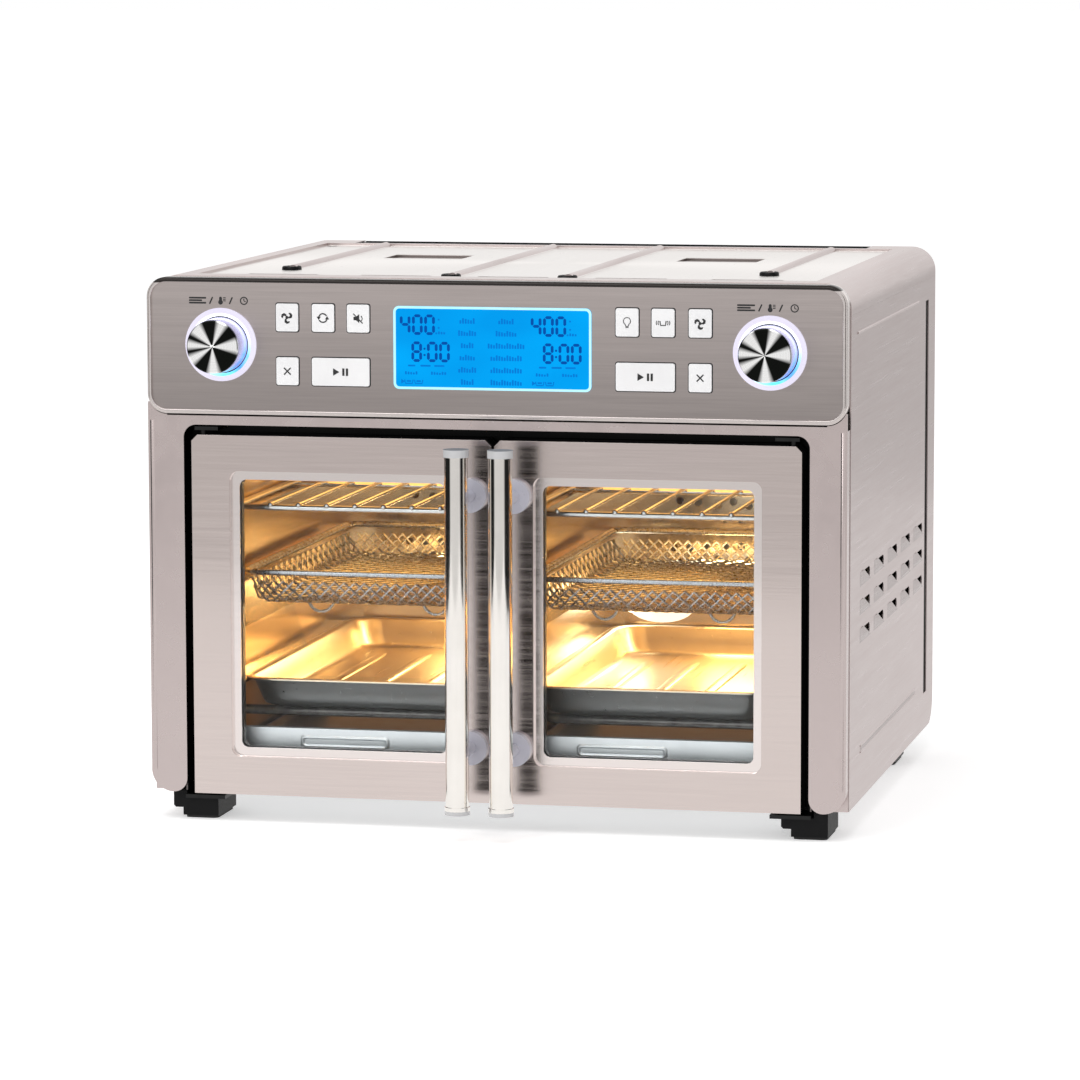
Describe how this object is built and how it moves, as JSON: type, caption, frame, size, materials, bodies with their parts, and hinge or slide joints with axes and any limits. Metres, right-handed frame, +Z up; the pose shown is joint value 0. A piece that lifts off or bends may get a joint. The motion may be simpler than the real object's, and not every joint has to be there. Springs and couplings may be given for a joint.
{
  "type": "toaster oven",
  "caption": "Countertop toaster oven with French doors, two windowed cooking zones, tubular handles, a push-button panel with a lit display and lit dials, racks, baskets and pans.",
  "frame": {"origin": "centre of the whole oven in plan, on the surface under its feet", "axes": "+X to the right as seen by a person at the doors, +Y from the doors to the back, +Z up"},
  "size_m": [0.5016, 0.4879, 0.3882],
  "materials": {
    "casing_steel": "brushed stainless sheet",
    "bright_steel": "bright satin stainless",
    "panel_steel": "dark brushed stainless, grain along x",
    "door_steel": "brushed stainless, grain along x",
    "door_frame": "satin",
    "handle_chrome": "polished",
    "mount_metal": "satin",
    "window_glass": "clear tempered",
    "black_plastic": "moulded, fine grain",
    "foot_rubber": "matt",
    "galvanised": "galvanised sheet",
    "oven_liner": "reflective enamelled aluminised steel, lit warm by the lamps",
    "guide_steel": "pressed sheet",
    "insulation_wool": "mineral wool blanket",
    "heater_metal": "heat-stained tube",
    "motor_metal": "zinc plated",
    "fan_metal": "pressed",
    "lamp_glass": "frosted",
    "board_green": "circuit board with parts",
    "display_blue": "lit liquid-crystal display",
    "halo_light": "lit translucent ring",
    "knob_dark": "dark chrome plated",
    "knob_face": "spun metal",
    "sleeve_brass": "turned",
    "button_white": "moulded",
    "rack_wire": "plated wire",
    "basket_wire": "woven stainless wire",
    "pan_steel": "satin",
    "tray_steel": "satin",
    "screw_steel": "plated"
  },
  "bodies": {
    "oven": {"outer_wrap": "casing_steel", "rear_cover": "black_plastic", "base_plate": "galvanised", "front_frame": "bright_steel", "panel_rim": "bright_steel", "control_panel": "panel_steel", "display_panel": "display_blue", "halo_rings": "halo_light", "control_board": "board_green", "power_board": "board_green", "cavity_liner": "oven_liner", "insulation": "insulation_wool", "zone_divider": "oven_liner", "rack_guides": "guide_steel", "upper_heaters": "heater_metal", "lower_heaters": "heater_metal", "fan_motors": "motor_metal", "fan_grilles": "guide_steel", "oven_lamps": "lamp_glass", "feet": "black_plastic", "foot_pads": "foot_rubber", "hinge_brackets": "galvanised", "cord_gland": "black_plastic", "case_screws": "screw_steel"},
    "left_door": {"left_door_skin": "door_steel", "left_door_inner": "door_frame", "left_window_panes": "window_glass", "left_handle_bar": "handle_chrome", "left_handle_mounts": "mount_metal"},
    "left_knob_slider": {"left_knob_sleeve": "sleeve_brass"},
    "left_knob_turner": {"left_knob": "knob_dark", "left_knob_cap": "knob_face"},
    "left_fan": {"left_fan_wheel": "fan_metal"},
    "left_wire_rack": {"left_wire_rack": "rack_wire"},
    "left_mesh_basket": {"left_mesh_basket": "basket_wire"},
    "left_bake_pan": {"left_bake_pan": "pan_steel"},
    "left_crumb_tray": {"left_crumb_tray": "tray_steel"},
    "right_door": {"right_door_skin": "door_steel", "right_door_inner": "door_frame", "right_window_panes": "window_glass", "right_handle_bar": "handle_chrome", "right_handle_mounts": "mount_metal"},
    "right_knob_slider": {"right_knob_sleeve": "sleeve_brass"},
    "right_knob_turner": {"right_knob": "knob_dark", "right_knob_cap": "knob_face"},
    "right_fan": {"right_fan_wheel": "fan_metal"},
    "right_wire_rack": {"right_wire_rack": "rack_wire"},
    "right_mesh_basket": {"right_mesh_basket": "basket_wire"},
    "right_bake_pan": {"right_bake_pan": "pan_steel"},
    "right_crumb_tray": {"right_crumb_tray": "tray_steel"},
    "left_fan_button_key": {"left_fan_button": "button_white"},
    "sync_button_key": {"sync_button": "button_white"},
    "mute_button_key": {"mute_button": "button_white"},
    "left_cancel_button_key": {"left_cancel_button": "button_white"},
    "left_start_button_key": {"left_start_button": "button_white"},
    "lamp_button_key": {"lamp_button": "button_white"},
    "shake_button_key": {"shake_button": "button_white"},
    "right_fan_button_key": {"right_fan_button": "button_white"},
    "right_start_button_key": {"right_start_button": "button_white"},
    "right_cancel_button_key": {"right_cancel_button": "button_white"}
  },
  "joints": [
    {"name": "left_door_hinge", "type": "hinge", "parent": "oven", "child": "left_door", "pos_m": [-0.211, -0.18302, 0.15], "axis": [0, 0, -1], "range_deg": [0, 110]},
    {"name": "left_knob_press", "type": "slide", "parent": "oven", "child": "left_knob_slider", "axis": [0, 1, 0], "range_m": [0, 0.0008], "stiffness_N_per_m": 1500, "springref_m": -0.0008},
    {"name": "left_knob_turn", "type": "hinge", "parent": "left_knob_slider", "child": "left_knob_turner", "pos_m": [-0.1955, -0.20003, 0.3395], "axis": [0, -1, 0], "continuous": true},
    {"name": "left_fan_spin", "type": "hinge", "parent": "oven", "child": "left_fan", "pos_m": [-0.1045, 0.18798, 0.17], "axis": [0, 1, 0], "continuous": true},
    {"name": "left_wire_rack_slide", "type": "slide", "parent": "oven", "child": "left_wire_rack", "axis": [0, -1, 0], "range_m": [0, 0.018]},
    {"name": "left_mesh_basket_slide", "type": "slide", "parent": "oven", "child": "left_mesh_basket", "axis": [0, -1, 0], "range_m": [0, 0.018]},
    {"name": "left_bake_pan_slide", "type": "slide", "parent": "oven", "child": "left_bake_pan", "axis": [0, -1, 0], "range_m": [0, 0.012]},
    {"name": "left_crumb_tray_slide", "type": "slide", "parent": "oven", "child": "left_crumb_tray", "axis": [0, -1, 0], "range_m": [0, 0.004]},
    {"name": "right_door_hinge", "type": "hinge", "parent": "oven", "child": "right_door", "pos_m": [0.211, -0.18302, 0.15], "axis": [0, 0, 1], "range_deg": [0, 110]},
    {"name": "right_knob_press", "type": "slide", "parent": "oven", "child": "right_knob_slider", "axis": [0, 1, 0], "range_m": [0, 0.0008], "stiffness_N_per_m": 1500, "springref_m": -0.0008},
    {"name": "right_knob_turn", "type": "hinge", "parent": "right_knob_slider", "child": "right_knob_turner", "pos_m": [0.1955, -0.20003, 0.3395], "axis": [0, -1, 0], "continuous": true},
    {"name": "right_fan_spin", "type": "hinge", "parent": "oven", "child": "right_fan", "pos_m": [0.1045, 0.18798, 0.17], "axis": [0, 1, 0], "continuous": true},
    {"name": "right_wire_rack_slide", "type": "slide", "parent": "oven", "child": "right_wire_rack", "axis": [0, -1, 0], "range_m": [0, 0.018]},
    {"name": "right_mesh_basket_slide", "type": "slide", "parent": "oven", "child": "right_mesh_basket", "axis": [0, -1, 0], "range_m": [0, 0.018]},
    {"name": "right_bake_pan_slide", "type": "slide", "parent": "oven", "child": "right_bake_pan", "axis": [0, -1, 0], "range_m": [0, 0.012]},
    {"name": "right_crumb_tray_slide", "type": "slide", "parent": "oven", "child": "right_crumb_tray", "axis": [0, -1, 0], "range_m": [0, 0.004]},
    {"name": "left_fan_button_press", "type": "slide", "parent": "oven", "child": "left_fan_button_key", "axis": [0, 1, 0], "range_m": [0, 0.0008], "stiffness_N_per_m": 800, "springref_m": -0.0006},
    {"name": "sync_button_press", "type": "slide", "parent": "oven", "child": "sync_button_key", "axis": [0, 1, 0], "range_m": [0, 0.0008], "stiffness_N_per_m": 800, "springref_m": -0.0006},
    {"name": "mute_button_press", "type": "slide", "parent": "oven", "child": "mute_button_key", "axis": [0, 1, 0], "range_m": [0, 0.0008], "stiffness_N_per_m": 800, "springref_m": -0.0006},
    {"name": "left_cancel_button_press", "type": "slide", "parent": "oven", "child": "left_cancel_button_key", "axis": [0, 1, 0], "range_m": [0, 0.0008], "stiffness_N_per_m": 800, "springref_m": -0.0006},
    {"name": "left_start_button_press", "type": "slide", "parent": "oven", "child": "left_start_button_key", "axis": [0, 1, 0], "range_m": [0, 0.0008], "stiffness_N_per_m": 800, "springref_m": -0.0006},
    {"name": "lamp_button_press", "type": "slide", "parent": "oven", "child": "lamp_button_key", "axis": [0, 1, 0], "range_m": [0, 0.0008], "stiffness_N_per_m": 800, "springref_m": -0.0006},
    {"name": "shake_button_press", "type": "slide", "parent": "oven", "child": "shake_button_key", "axis": [0, 1, 0], "range_m": [0, 0.0008], "stiffness_N_per_m": 800, "springref_m": -0.0006},
    {"name": "right_fan_button_press", "type": "slide", "parent": "oven", "child": "right_fan_button_key", "axis": [0, 1, 0], "range_m": [0, 0.0008], "stiffness_N_per_m": 800, "springref_m": -0.0006},
    {"name": "right_start_button_press", "type": "slide", "parent": "oven", "child": "right_start_button_key", "axis": [0, 1, 0], "range_m": [0, 0.0008], "stiffness_N_per_m": 800, "springref_m": -0.0006},
    {"name": "right_cancel_button_press", "type": "slide", "parent": "oven", "child": "right_cancel_button_key", "axis": [0, 1, 0], "range_m": [0, 0.0008], "stiffness_N_per_m": 800, "springref_m": -0.0006}
  ]
}
